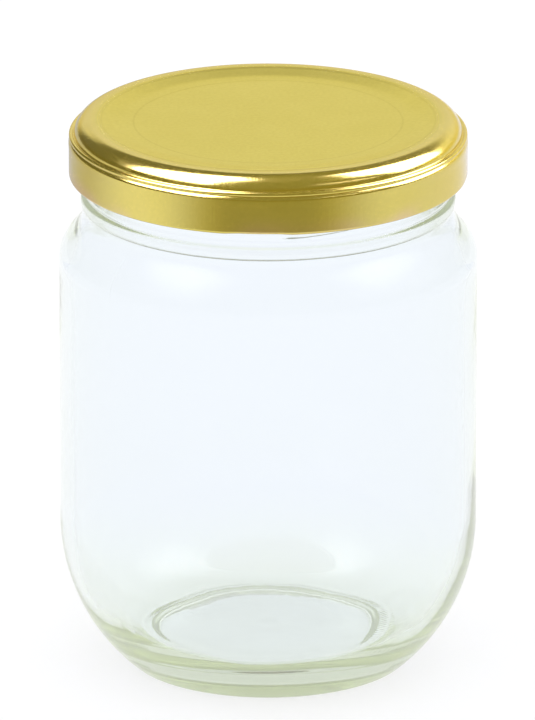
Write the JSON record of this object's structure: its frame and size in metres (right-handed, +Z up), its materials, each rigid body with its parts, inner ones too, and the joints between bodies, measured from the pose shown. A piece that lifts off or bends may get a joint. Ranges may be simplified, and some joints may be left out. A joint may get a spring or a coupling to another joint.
{
  "type": "glass jar with twist-off cap",
  "caption": "Round clear glass food jar with a large-radius heel, closed by a gold metal twist-off lug cap that turns and rises off the threaded neck.",
  "frame": {"origin": "centre of the jar's base, on the plane it stands on", "axes": "+Z up along the jar's axis, -Y towards the front, +X to the right seen from the front"},
  "size_m": [0.0766, 0.0766, 0.1033],
  "materials": {
    "clear_glass": "clear, glossy",
    "gold_lacquer": "satin gold lacquer on tinplate",
    "sealing_compound": "soft matte"
  },
  "bodies": {
    "jar": {"glass_jar": "clear_glass"},
    "seal": {"sealing_ring": "sealing_compound"},
    "cap": {"cap_shell": "gold_lacquer"}
  },
  "joints": [
    {"name": "cap_rise", "type": "slide", "parent": "jar", "child": "seal", "axis": [0, 0, 1], "range_m": [0, 0.014]},
    {"name": "cap_turn", "type": "hinge", "parent": "seal", "child": "cap", "pos_m": [0, 0, 0.1], "axis": [0, 0, 1], "range_deg": [0, 360]}
  ],
  "couplings": [
    {"joint": "cap_turn", "follows": "cap_rise", "rad_per_m": 448.8}
  ]
}
